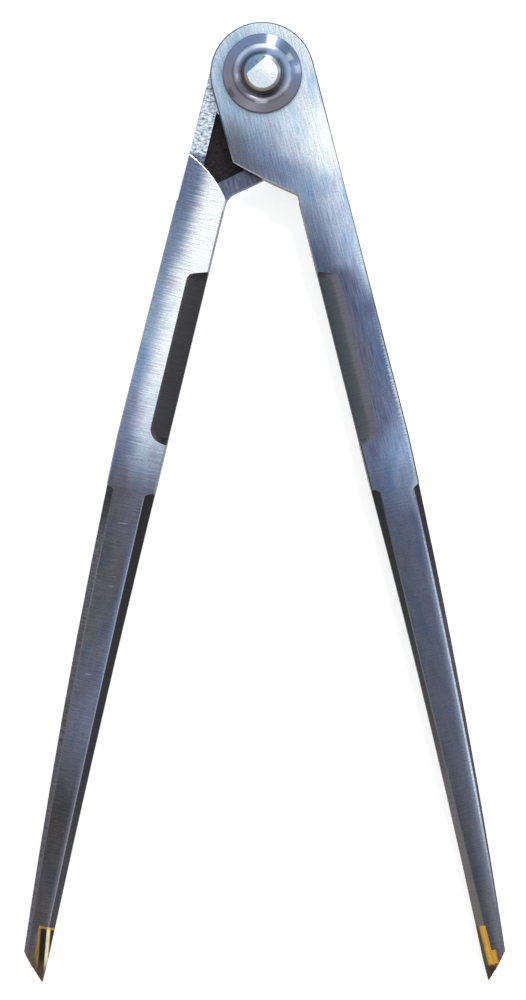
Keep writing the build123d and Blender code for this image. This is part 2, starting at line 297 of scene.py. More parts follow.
def breakShoulder(bm, side):
    # the edge along the top of the shoulder is broken, which leaves a thin bright line, painted pale as a
    # highlight too
    s = legForm
    edges = []
    for edge in bm.edges:
        low, high = sorted(abs(f.normal.z) for f in edge.link_faces)
        places = [legPlace(v.co, side) for v in edge.verts]
        onTop = all(s["shoulderStart"] < down < s["shoulderEnd"] and abs(height) > whole["face"] - samePlace
                    for across, down, height in places)
        if low < slopes["wall"] and high > slopes["flat"] and onTop:
            edges.append(edge)
    faces = roundEdges(bm, edges, s["shoulderBreak"], 1)
    for vert in {v for f in faces for v in f.verts}:
        height = legPlace(vert.co, side)[2]
        if abs(height) < whole["face"] - s["shoulderBreak"] / 2:
            vert.co.z += math.copysign(s["shoulderLift"], height) * mm


def divideFaces(bm, side):
    s = legForm
    outward, upward = legAxes(side)
    for index in range(int((whole["reach"] - s["first"]) / s["stations"]) + 1):
        down = s["first"] + index * s["stations"]
        bmesh.ops.bisect_plane(bm, geom=[*bm.faces, *bm.edges, *bm.verts], dist=cutReach,
                               plane_co=-upward * down * mm, plane_no=upward)
    for index in range(int(s["rowSpan"] / s["rows"]) + 1):
        across = s["first"] + index * s["rows"]
        faces = [f for f in bm.faces if abs(f.normal.z) > slopes["flat"]]
        edges = {e for f in faces for e in f.edges}
        verts = {v for f in faces for v in f.verts}
        bmesh.ops.bisect_plane(bm, geom=[*faces, *edges, *verts], dist=cutReach,
                               plane_co=outward * across * mm, plane_no=outward)


def faceLimits(bm, side):
    # inner and outer limit of the ground faces at each cut, on the front (True) and the back (False)
    s = legForm
    found = {True: {}, False: {}}
    for face in bm.faces:
        if not isGroundFace(face, side):
            continue
        for vert in face.verts:
            across, down, height = legPlace(vert.co, side)
            table = found[height > 0]
            station = round((down - s["first"]) / s["stations"])
            if abs(down - s["first"] - station * s["stations"]) > samePlace:
                continue
            inner, outer = table.get(station, (across, across))
            if down < s["shoulderEnd"]:
                inner = min(inner, s["innerEdge"])
            table[station] = (min(inner, across), max(outer, across))
    return found


def margins(found, across, down, height):
    # mm from the inner and from the outer limit of the face
    s = legForm
    table = found[height > 0]
    place = min(max((down - s["first"]) / s["stations"], min(table)), max(table))
    low, t = int(place), place - int(place)
    first, second = table[low], table.get(low + 1, table[low])
    inner = first[0] + (second[0] - first[0]) * t
    outer = first[1] + (second[1] - first[1]) * t
    return across - inner, outer - across


def crownFaces(bm, side, found):
    for vert in bm.verts:
        across, down, height = legPlace(vert.co, side)
        if abs(abs(height) - faceHeight(down)) < samePlace:
            inside, outside = margins(found, across, down, height)
            share = min(1.0, abs(inside - outside) / max(inside + outside, legForm["leastWidth"]))
            vert.co.z -= math.copysign(legForm["crown"] * share ** 2, height) * mm


def addPiece(bm, name, body, node, materials):
    mesh = bpy.data.meshes.new(name)
    bm.to_mesh(mesh)
    bm.free()
    piece = bpy.data.objects.new(name, mesh)
    bpy.context.scene.collection.objects.link(piece)
    for material in materials:
        mesh.materials.append(material)
    mesh.shade_smooth()
    mesh.set_sharp_from_angle(angle=math.radians(legForm["sharpAngle"]))
    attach(piece, body)
    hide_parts(node)


# Ground steel: ground by hand on a belt, so it glints in fine lines and clouds from blue-grey to mauve-grey; its
# runs of colour and bands are painted highlights and painted shade
groundFinish = {
    "shades": (0.12, 0.88),  # shares of the width, where the inner run of colour gives way to the outer
    "linePitch": 0.30,       # mm between grinding lines, drawn coarser than the real grit so that they show
    "lineLength": 6.0,
    "lowerLines": (98.0, 110.0),   # mm below the pivot, where the lines turn to lie straight across
    "grainSize": 0.4,        # mm, likewise coarser than the real grain
    "grainLevels": (0.25, 0.75),   # its noise that counts as dark and as bright
    "grain": 0.16,
    "cloudSize": (4.0, 12.0),      # mm across and along a stain
    "clouds": [("#CFE2F4", 0.50, 0.70), ("#EADCE8", 0.50, 0.30)],   # tint, and the noise it lies at
    "cloud": 0.8,
    "roughness": (0.29, 0.42),     # at dark and at bright lines
    "bump": 0.004,           # mm, depth of the lines
}
rimMarksAndHighlight = {                 # left by finishing the head's round edge, and painted pale on the upper half as a highlight
    "radius": (10.4, 12.6),  # mm from the pivot, where they begin and are full
    "down": (4.0, -4.0),     # mm below the pivot, the same
    "pitch": 0.05,           # share of a radian between them
    "levels": (0.35, 0.65),
    "amount": 0.30,
    "colour": "#F4F8FB",
}
scratchMarks = {             # single ones, from use
    "pitch": 0.35, "length": 9.0, "turn": 8.0,   # mm and degrees
    "levels": (0.765, 0.82),   # only the peaks of the noise show
    "fade": 4.0,               # mm, before and after the stretch that has them
    "sides": (0.1, 0.3),       # share of the width from each side, where they begin and are full
    "colour": "#D8E0EC",
}
spans = {
    "leg": 240.0,            # mm that a run of colour covers, down a leg, across a scoop and across a point
    "scoop": 6.0,
    "point": 5.0,
    "pointTop": 222.9,       # mm below the pivot
    "pointLean": 0.03,       # share of the run by which a point's stripes move in 1 mm down
}
streakLevels = (0.3, 0.7)    # noise of streaks and rings that counts as dark and as bright
beyond = 99.0                # mm, further than any face is wide

# Inner and outer: run of colour down the leg, painted highlights and painted shade along each side of the face.
# Lines: turn in degrees, strength above and below the bevels' top. Scratch: mm below the pivot, and how bright.
# Painted light bands, pale as painted highlight or dark as painted shade: mm from one edge of the face and mm
# below the pivot, blurred by "blend" and "fade", with sides that the lines comb
leftGround = {
    "inner": [(0.14, "#AEB9C5"), (0.19, "#DFEAF3"), (0.38, "#D8E5F0"), (0.42, "#94A2B8"), (0.46, "#67697A"),
              (0.55, "#595A60"), (0.71, "#6C738A"), (0.80, "#454549"), (0.90, "#525157")],
    "outer": [(0.14, "#66738D"), (0.30, "#8DA4BE"), (0.40, "#747E9C"), (0.46, "#5D5C66"), (0.55, "#58595E"),
              (0.71, "#666B7A"), (0.80, "#454345"), (0.90, "#525053")],
    "lines": (0.0, 0.26, 0.22),
    "scratch": (120.0, 168.0, 0.55),
    "paintedLightBands": [
        {"edge": "outer", "across": (5.6, beyond), "down": (26.0, 52.0), "fade": 6.0, "blend": 2.4,
         "comb": 2.0, "colour": "#F6FBFE", "amount": 0.85},
        {"edge": "outer", "across": (4.6, beyond), "down": (46.0, 84.0), "fade": 9.0, "blend": 3.2,
         "comb": 2.6, "colour": "#F4FAFD", "amount": 0.78},
        {"edge": "outer", "across": (4.5, 8.6), "down": (82.0, 103.0), "fade": 6.0, "blend": 2.2,
         "comb": 2.4, "colour": "#C8D6E6", "amount": 0.5},
        {"edge": "inner", "across": (-beyond, 0.6), "down": (122.0, 158.0), "fade": 8.0, "blend": 0.5,
         "comb": 0.9, "colour": "#6A80AC", "amount": 0.55},
        {"edge": "inner", "across": (-beyond, 0.3), "down": (176.0, 224.0), "fade": 12.0, "blend": 0.9,
         "comb": 0.9, "colour": "#8C8C98", "amount": 0.6},
    ],
}
rightGround = {
    "inner": [(0.0, "#A0B6CA"), (0.12, "#8CA0BA"), (0.20, "#566076"), (0.32, "#616476"), (0.42, "#5F6B89"),
              (0.52, "#545B6A"), (0.72, "#565B67"), (0.84, "#4C4E56")],
    "outer": [(0.0, "#C8D6E4"), (0.10, "#D2DDEA"), (0.19, "#ACBED8"), (0.26, "#617090"), (0.35, "#64738F"),
              (0.42, "#90A4C2"), (0.49, "#5A6177"), (0.74, "#5C6274"), (0.92, "#6E6E7A")],
    "lines": (90.0, 0.24, 0.14),
    "paintedLightBands": [
        {"edge": "outer", "across": (-beyond, 4.2), "down": (11.0, 26.0), "fade": 7.0, "blend": 3.4,
         "comb": 2.0, "colour": "#F6FBFE", "amount": 0.8},
        {"edge": "inner", "across": (-beyond, 11.0), "down": (14.0, 28.0), "fade": 6.0, "blend": 4.5,
         "comb": 2.0, "colour": "#647696", "amount": 0.8},
        {"edge": "inner", "across": (-beyond, 4.4), "down": (10.0, 25.0), "fade": 6.0, "blend": 3.0,
         "comb": 2.0, "colour": "#5E606C", "amount": 0.85},
        {"edge": "outer", "across": (-beyond, 1.1), "down": (44.0, 58.0), "fade": 6.0, "blend": 1.0,
         "comb": 3.2, "colour": "#D0E4EE", "amount": 0.75},
        {"edge": "outer", "across": (-beyond, 0.5), "down": (72.0, 109.0), "fade": 14.0, "blend": 0.7,
         "comb": 2.8, "colour": "#D0E0EE", "amount": 0.8},
        {"edge": "inner", "across": (-beyond, 0.7), "down": (58.0, 106.0), "fade": 5.0, "blend": 1.2,
         "comb": 0.8, "colour": "#6C6B79", "amount": 0.6},
        {"edge": "outer", "across": (-beyond, 0.4), "down": (126.0, 210.0), "fade": 16.0, "blend": 1.1,
         "comb": 2.0, "colour": "#A3B2C8", "amount": 0.65},
    ],
}
heatTint = {"down": (226.0, 234.0), "colour": "#6E5646", "amount": 0.55}   # left by brazing


def legMeasures(tree):
    # the leg's two maps taken apart: mm outwards and down, and mm in from each limit of the face
    place = addNode(tree, "ShaderNodeUVMap", uv_map="legPlace").outputs["UV"]
    margin = addNode(tree, "ShaderNodeUVMap", uv_map="legMargin").outputs["UV"]
    flat = addNode(tree, "ShaderNodeSeparateXYZ", {0: place})
    down = addNode(tree, "ShaderNodeMath", {0: flat.outputs["Y"], 1: -1.0}, operation="MULTIPLY")
    sides = addNode(tree, "ShaderNodeSeparateXYZ", {0: margin})
    return {"place": place, "across": flat.outputs["X"], "down": down.outputs[0],
            "inner": sides.outputs["X"], "outer": sides.outputs["Y"]}


def streaks(tree, place, pitch, length, turn, detail=2.0):
    # noise drawn out along one direction: pitch across the lines and length along them, in mm
    turned = addNode(tree, "ShaderNodeVectorRotate", {"Vector": place, "Angle": math.radians(turn)},
                     rotation_type="Z_AXIS")
    scaled = addNode(tree, "ShaderNodeVectorMath", {0: turned.outputs[0], 1: (1 / length, 1 / pitch, 1.0)},
                     operation="MULTIPLY")
    grain = addNode(tree, "ShaderNodeTexNoise",
                    {"Vector": scaled.outputs[0], "Scale": 1.0, "Detail": detail, "Roughness": 0.6})
    return grain.outputs["Fac"]


def fadeShare(tree, share, limits, blend="LINEAR"):
    # a share that comes up between the two levels of each measure
    for measure, none, full in limits:
        step = addNode(tree, "ShaderNodeMapRange", {"Value": measure, "From Min": none, "From Max": full},
                       interpolation_type=blend)
        share = addNode(tree, "ShaderNodeMath", {0: share, 1: step.outputs[0]}, operation="MULTIPLY").outputs[0]
    return share


def layTint(tree, colour, tint, share, limits, blend="LINEAR", how="MIX"):
    # a tint over the colour, as strong as its share
    share = fadeShare(tree, share, limits, blend)
    return addNode(tree, "ShaderNodeMix", {"Factor": share, 6: colour, 7: srgb(tint)}, data_type="RGBA",
                   blend_type=how).outputs[2]


def bandLimits(tree, band, at, lines):
    # the band's sides, combed by the grinding lines, and its ends
    comb = addNode(tree, "ShaderNodeMath", {0: lines, 1: band["comb"], 2: -band["comb"] / 2},
                   operation="MULTIPLY_ADD")
    edge = addNode(tree, "ShaderNodeMath", {0: at[band["edge"]], 1: comb.outputs[0]}).outputs[0]
    limits = []
    for measure, (low, high), blur in ((edge, band["across"], band["blend"]),
                                       (at["down"], band["down"], band["fade"])):
        limits += [(measure, low - blur, low + blur), (measure, high + blur, high - blur)]
    return limits


def finishMetal(tree, height, depth, inputs):
    # bare metal with the marks of its making in relief
    bump = addNode(tree, "ShaderNodeBump", {"Height": height, "Distance": depth * mm, "Strength": 1.0})
    shader = addNode(tree, "ShaderNodeBsdfPrincipled", {"Metallic": 1.0, "Normal": bump.outputs[0], **inputs})
    addNode(tree, "ShaderNodeOutputMaterial", {"Surface": shader.outputs[0]})


def addRimMarksAndHighlight(tree, at, colour):
    # marks round the head's edge, pale on its upper half as a painted highlight
    s = rimMarksAndHighlight
    radius = addNode(tree, "ShaderNodeVectorMath", {0: at["place"]}, operation="LENGTH").outputs["Value"]
    turns = addNode(tree, "ShaderNodeVectorMath", {0: at["place"]}, operation="NORMALIZE").outputs[0]
    marks = addNode(tree, "ShaderNodeTexNoise", {"Vector": turns, "Scale": 1 / s["pitch"], "Detail": 1.0})
    share = fadeShare(tree, s["amount"], [(radius, *s["radius"])], "SMOOTHSTEP")
    return layTint(tree, colour, s["colour"], share,
                   [(at["down"], *s["down"]), (marks.outputs["Fac"], *s["levels"])])


def addScratches(tree, at, middle, stretch, colour):
    s = scratchMarks
    first, last, bright = stretch
    low, high = s["sides"]
    marks = streaks(tree, at["place"], s["pitch"], s["length"], s["turn"], 0.0)
    return layTint(tree, colour, s["colour"], bright, [
        (marks, *s["levels"]), (at["down"], first - s["fade"], first), (at["down"], last + s["fade"], last),
        (middle, low, high), (middle, 1 - low, 1 - high)])


def groundSteel(name, own):
    s = groundFinish
    material, tree = newMaterial(name)
    at = legMeasures(tree)
    place, down = at["place"], at["down"]
    turn, upper, lower = own["lines"]
    across = streaks(tree, place, s["linePitch"], s["lineLength"], 0.0)
    lines = streaks(tree, place, s["linePitch"], s["lineLength"], turn)
    lowerShare = fadeShare(tree, 1.0, [(down, *s["lowerLines"])])
    lines = addNode(tree, "ShaderNodeMix", {"Factor": lowerShare, 2: lines, 3: across}).outputs[0]
    # the two runs of colour down the leg, painted highlights and painted shade, and the way across from one to
    # the other
    width = addNode(tree, "ShaderNodeMath", {0: at["inner"], 1: at["outer"]})
    share = addNode(tree, "ShaderNodeMath", {0: at["inner"], 1: width.outputs[0]}, operation="DIVIDE").outputs[0]
    share = fadeShare(tree, 1.0, [(share, *s["shades"])], "SMOOTHSTEP")
    along = addNode(tree, "ShaderNodeMath", {0: down, 1: 1 / spans["leg"]}, operation="MULTIPLY").outputs[0]
    inner = addNode(tree, "ShaderNodeValToRGB", {"Fac": along}, stops=own["inner"]).outputs[0]
    outer = addNode(tree, "ShaderNodeValToRGB", {"Fac": along}, stops=own["outer"]).outputs[0]
    colour = addNode(tree, "ShaderNodeMix", {"Factor": share, 6: inner, 7: outer}, data_type="RGBA").outputs[2]
    # clouds of stain, bands of painted highlight and painted shade, heat tint, and the marks and painted
    # highlight round the head
    wide, long = s["cloudSize"]
    cloudPlace = addNode(tree, "ShaderNodeVectorMath", {0: place, 1: (1 / wide, 1 / long, 1.0)},
                         operation="MULTIPLY")
    cloud = addNode(tree, "ShaderNodeTexNoise", {"Vector": cloudPlace.outputs[0], "Scale": 1.0, "Detail": 3.0})
    for tint, none, full in s["clouds"]:
        colour = layTint(tree, colour, tint, s["cloud"], [(cloud.outputs["Fac"], none, full)], how="MULTIPLY")
    # bands of painted highlight and painted shade
    for band in own["paintedLightBands"]:
        limits = bandLimits(tree, band, at, across)
        colour = layTint(tree, colour, band["colour"], band["amount"], limits, "SMOOTHSTEP")
    colour = layTint(tree, colour, heatTint["colour"], heatTint["amount"], [(down, *heatTint["down"])],
                     "SMOOTHSTEP")
    colour = addRimMarksAndHighlight(tree, at, colour)
    # lines and grain lighten and darken the steel, and scratches lie over them
    strength = addNode(tree, "ShaderNodeMapRange", {"Value": lowerShare, "To Min": upper, "To Max": lower})
    low, high = streakLevels
    swing = addNode(tree, "ShaderNodeMapRange", {
        "Value": lines, "From Min": low, "From Max": high, "To Min": -1.0, "To Max": 1.0})
    level = addNode(tree, "ShaderNodeMath", {0: swing.outputs[0], 1: strength.outputs[0], 2: 1.0},
                    operation="MULTIPLY_ADD")
    grain = addNode(tree, "ShaderNodeTexNoise", {"Vector": place, "Scale": 1 / s["grainSize"], "Detail": 1.0})
    dark, bright = s["grainLevels"]
    speckle = addNode(tree, "ShaderNodeMapRange", {
        "Value": grain.outputs["Fac"], "From Min": dark, "From Max": bright,
        "To Min": 1 - s["grain"], "To Max": 1 + s["grain"]})
    level = addNode(tree, "ShaderNodeMath", {0: level.outputs[0], 1: speckle.outputs[0]}, operation="MULTIPLY")
    colour = addNode(tree, "ShaderNodeVectorMath", {0: colour, "Scale": level.outputs[0]},
                     operation="SCALE").outputs[0]
    if "scratch" in own:
        colour = addScratches(tree, at, share, own["scratch"], colour)
    first, last = s["roughness"]
    rough = addNode(tree, "ShaderNodeMapRange", {
        "Value": lines, "From Min": low, "From Max": high, "To Min": first, "To Max": last})
    finishMetal(tree, lines, s["bump"], {"Base Color": colour, "Roughness": rough.outputs[0]})
    return material


# The other finishes of a leg. Each has a run of colour over one measure of its place, 0 to 1: weights of the
# mm outwards, the mm below the pivot and the mm from the face's inner limit, and a constant
overDown = ((0.0, 1 / spans["leg"], 0.0), 0.0)
overInside = ((0.0, 0.0, 1 / spans["scoop"]), 1.0)   # up to the scoop's outer border
overPoint = ((1 / spans["point"], spans["pointLean"], 0.0), -spans["pointLean"] * spans["pointTop"])
overPatch = ((1 / spans["point"], 0.0, 0.0), 0.0)    # the same without the lean
plainFinish = {              # where a finish doesn't say otherwise
    "over": overDown,
    "ends": [],              # mm below the pivot where another tint begins and is full, the tint, its share
    "swing": 0.10,           # how much its streaks lighten and darken it
    "roughness": 0.36,
    "roughSwing": 0.06,
    "pitch": 0.5,            # mm between streaks, coarser than the real tool marks so that they show
    "length": 3.0,           # mm
    "turn": 0.0,             # degrees
    "bump": 0.002,           # mm
}
legFinishes = {
    # scoops: rough milled, dark and dull; the nearly black upper end is painted shade
    "scoopSteelLeft": {
        "over": overInside, "ends": [(54.6, 52.6, "#2A2525", 0.85)], "roughness": 0.45, "bump": 0.006,
        "run": [(0.10, "#2F2F33"), (0.25, "#3D3D41"), (0.85, "#414145"), (1.0, "#4B4A50")]},
    "scoopSteelRight": {
        "over": overInside, "ends": [(53.8, 52.4, "#2E2A2B", 0.9), (86.0, 100.0, "#5B5D65", 0.5)],
        "roughness": 0.45, "bump": 0.006,
        "run": [(0.10, "#42494D"), (0.50, "#4D555B"), (0.66, "#575A62"), (0.80, "#6A6973"), (1.0, "#6A6A78")]},
    # bevels: filed steel that leans away from the light, dark with faint streaks
    "innerBevelLeft": {
        "swing": 0.08, "roughness": 0.42, "bump": 0.004,
        "run": [(0.45, "#2B2B2E"), (0.75, "#343337"), (0.90, "#454449")]},
    "outerBevelLeft": {
        "swing": 0.50, "roughness": 0.4, "pitch": 0.4, "bump": 0.006,
        "run": [(0.48, "#2E2F33"), (0.52, "#52525A"), (0.70, "#4C4A50"), (0.95, "#55555B")]},
    "innerBevelRight": {
        "roughness": 0.42, "bump": 0.004,
        "run": [(0.46, "#2C2D30"), (0.60, "#353839"), (0.72, "#4B4A4C"), (0.80, "#696568"), (0.95, "#67625F")]},
    "outerBevelRight": {
        "swing": 0.20, "roughness": 0.42, "pitch": 0.45, "bump": 0.004,
        "run": [(0.46, "#26262A"), (0.55, "#35343A"), (0.62, "#4C484E"), (0.80, "#4B474C")]},
    # lines: narrow polished facets beside the bevels; the two facing the light are painted pale as highlights,
    # the two facing away darker as painted shade
    "innerLineLeft": {
        "swing": 0.15, "roughness": 0.34,
        "run": [(0.46, "#7C818F"), (0.55, "#98A2B6"), (0.75, "#858A99"), (0.95, "#84848D")]},
    "outerLineLeft": {"run": [(0.46, "#54535A"), (0.55, "#73747C"), (0.80, "#615F68")]},
    "innerLineRight": {"run": [(0.46, "#4C4C52"), (0.58, "#6E6D75"), (0.90, "#686669")]},
    "outerLineRight": {
        "swing": 0.30, "roughness": 0.34, "pitch": 0.4,
        "run": [(0.46, "#6C7690"), (0.56, "#A4B2C8"), (0.78, "#C2D0E2"), (0.92, "#6A6C78")]},
    # broken edges: drawn with a stone, thin bright or brownish lines; the pale shoulder line is a painted
    # highlight
    "shoulderLineHighlight": {"run": [(0.1, "#E2EAF2")], "roughness": 0.34, "pitch": 0.6, "turn": 90.0},
    "brokenEdgeLeft": {"run": [(0.40, "#9196A4"), (0.50, "#6C6A76")], "swing": 0.15, "length": 6.0, "turn": 90.0},
    "brokenEdgeRight": {
        "swing": 0.15, "roughness": 0.38, "length": 6.0, "turn": 90.0,
        "run": [(0.06, "#4F5F6C"), (0.09, "#A9A7AC"), (0.13, "#A09EA4"), (0.18, "#77787E"), (0.40, "#44393A")]},
    # sides: filed along the leg, dark grey
    "sideSteel": {
        "swing": 0.15, "roughness": 0.4, "pitch": 0.4, "length": 8.0, "turn": 90.0, "bump": 0.006,
        "run": [(0.12, "#2E2F33"), (0.18, "#505359"), (0.60, "#4A4C52")]},
    # the lap's pocket: scale of the forging, matt and nearly black
    "forgeScale": {
        "swing": 0.30, "roughness": 0.6, "pitch": 0.9, "length": 1.2, "turn": 20.0, "bump": 0.05,
        "run": [(0.1, "#312F31")]},
    # the lap's faces: coarse milled, pale with blue tooth marks outside, blue-grey beside the shoulder as painted
    # shade; the plain blue-grey copy inside is painted shade
    "milledSteel": {
        "swing": 0.95, "roughness": 0.34, "pitch": 0.55, "length": 0.9, "turn": 12.0, "bump": 0.05,
        "ends": [(22.8, 23.4, "#5A687C", 0.95)], "run": [(0.05, "#BCC9D8"), (0.14, "#C4D0DE")]},
    "milledSteelPaintedShade": {
        "swing": 0.40, "pitch": 0.6, "turn": -60.0, "bump": 0.01,
        "run": [(0.1, "#54596A"), (0.14, "#68718B")]},
}


def plainSteel(name, own):
    s = plainFinish | own
    material, tree = newMaterial(name)
    at = legMeasures(tree)
    weights, offset = s["over"]
    spot = addNode(tree, "ShaderNodeCombineXYZ", {"X": at["across"], "Y": at["down"], "Z": at["inner"]})
    measure = addNode(tree, "ShaderNodeVectorMath", {0: spot.outputs[0], 1: weights}, operation="DOT_PRODUCT")
    measure = addNode(tree, "ShaderNodeMath", {0: measure.outputs["Value"], 1: offset})
    colour = addNode(tree, "ShaderNodeValToRGB", {"Fac": measure.outputs[0]}, stops=s["run"]).outputs[0]
    for first, last, tint, share in s["ends"]:
        colour = layTint(tree, colour, tint, share, [(at["down"], first, last)])
    lines = streaks(tree, at["place"], s["pitch"], s["length"], s["turn"], 3.0)
    low, high = streakLevels
    level = addNode(tree, "ShaderNodeMapRange", {
        "Value": lines, "From Min": low, "From Max": high, "To Min": 1 - s["swing"], "To Max": 1 + s["swing"]})
    colour = addNode(tree, "ShaderNodeVectorMath", {0: colour, "Scale": level.outputs[0]}, operation="SCALE")
    rough = addNode(tree, "ShaderNodeMapRange", {
        "Value": lines, "From Min": low, "From Max": high,
        "To Min": s["roughness"] + s["roughSwing"], "To Max": s["roughness"] - s["roughSwing"]})
    finishMetal(tree, lines, s["bump"], {"Base Color": colour.outputs[0], "Roughness": rough.outputs[0]})
    return material


shared = [plainSteel(name, own) for name, own in legFinishes.items()]
finishes = ["ground", *legFinishes]
legMaterials = {
    -1: [groundSteel("groundSteelLeft", leftGround), *shared],
    1: [groundSteel("groundSteelRight", rightGround), *shared],
}

# How a face's slope and place say which finish it has
zoneRule = {
    "lap": 0.1,              # mm from the middle of the thickness
    "pocket": 1.0,
    "rimStart": 8.0,         # mm outwards from the leg's axis
    "scoopStart": 51.5,      # mm below the pivot
    "scoopFoot": 97.5,
    "bevelTop": 104.0,
    "breakSpan": 0.02,       # how near to 45 degrees a broken edge is
    "middleTop": 7.5,        # mm, the middle line between the bevels, and how far it comes in
    "middleDrop": 4.5,
}


def zoneOf(face, side):
    s, own = zoneRule, "Left" if side < 0 else "Right"
    slope = abs(face.normal.z)
    deepest = max(abs(legPlace(v.co, side)[2]) for v in face.verts)
    across, down, height = legPlace(face.calc_center_median(), side)
    above = down < legForm["shoulderEnd"]
    if above and deepest < s["lap"]:
        # the lap's inner part gets the copy darkened as painted shade
        return "milledSteel" if across > s["rimStart"] else "milledSteelPaintedShade"
    if above and deepest < s["pocket"]:
        return "forgeScale"
    if slope > slopes["flat"]:
        return "ground"
    if slope > slopes["wall"] and s["scoopStart"] < down < s["scoopFoot"] and across < s["middleTop"]:
        return "scoopSteel" + own
    if abs(slope - slopes["break"]) < s["breakSpan"] or (above and slope > slopes["floor"]):
        return "shoulderLineHighlight" if side < 0 and height > 0 and above else "brokenEdge" + own
    if slope < slopes["wall"]:
        return "sideSteel"
    if down < s["bevelTop"]:
        return "scoopSteel" + own
    part = (down - whole["taperStart"]) / (whole["reach"] - whole["taperStart"])
    edge = "inner" if across < s["middleTop"] - s["middleDrop"] * part else "outer"
    return edge + ("Line" if slope > slopes["floor"] else "Bevel") + own


def mapPlace(bm, side):
    # an upright face gives its height in place of a width
    placeMap = bm.loops.layers.uv.new("legPlace")
    for face in bm.faces:
        upright = abs(face.normal.z) < slopes["wall"]
        for loop in face.loops:
            across, down, height = legPlace(loop.vert.co, side)
            loop[placeMap].uv = (across + (height if upright else 0.0), -down)


def mapMargin(bm, side, found):
    marginMap = bm.loops.layers.uv.new("legMargin")
    for face in bm.faces:
        for loop in face.loops:
            loop[marginMap].uv = margins(found, *legPlace(loop.vert.co, side))


def makeLeg(name, side, body, node):
    bm = packedCopy(node)
    breakShoulder(bm, side)
    divideFaces(bm, side)
    bm.normal_update()
    found = faceLimits(bm, side)
    for face in bm.faces:
        face.material_index = finishes.index(zoneOf(face, side))
    mapPlace(bm, side)
    mapMargin(bm, side, found)
    crownFaces(bm, side, found)
    addPiece(bm, name, body, node, legMaterials[side])


makeLeg("leftLeg", -1, "left", "left_leg")
makeLeg("rightLeg", 1, "right", "right_leg")
print("legs dressed")

# Washers: turned in one setting, a flat rim, a rounded ridge and a dished floor round the rivet head
washerForm = {
    "bore": 4.01,            # mm
    "rim": (10.0, 1.3),      # radius and height of each ring of the profile, in mm
    "shelf": (7.45, 1.55),
    "crestOuter": (7.15, 2.05),
    "crestInner": (6.45, 2.05),
    "floor": (5.15, 1.0),
    "steps": 160,
    # which rings are rounded, by how many mm and in how many segments
    "rounded": [("rim", 0.2, 3), ("crestOuter", 0.22, 4), ("crestInner", 0.22, 4), ("shelf", 0.2, 2)],
}
rivetForm = {
    "shank": 4.0, "head": 5.0, "height": 12.9, "headHeight": 1.4, "round": 1.15,   # mm
    "flatRings": (1.1, 2.2, 3.2),   # mm, on the flat ends, for the dents
    "roundSegments": 6, "steps": 128,
    "facetAt": 2.5, "facetTurn": 131.0, "facetTilt": 9.0,    # sheared facet on the front head: mm, degrees
    "dent": 0.025,           # mm
    "dentScale": 0.7,        # shallow dents to 1 mm
}
turnedForm = {
    "ringSpan": 10.0,        # mm that the rings' run of grey covers
    "tintSpan": 0.7,         # cosine of the angle from which each tint is pure
    "wedgeEdge": (0.2, 0.1),   # mm outside and inside a wedge's radii, where it fades
    "stainShare": 0.8,
}
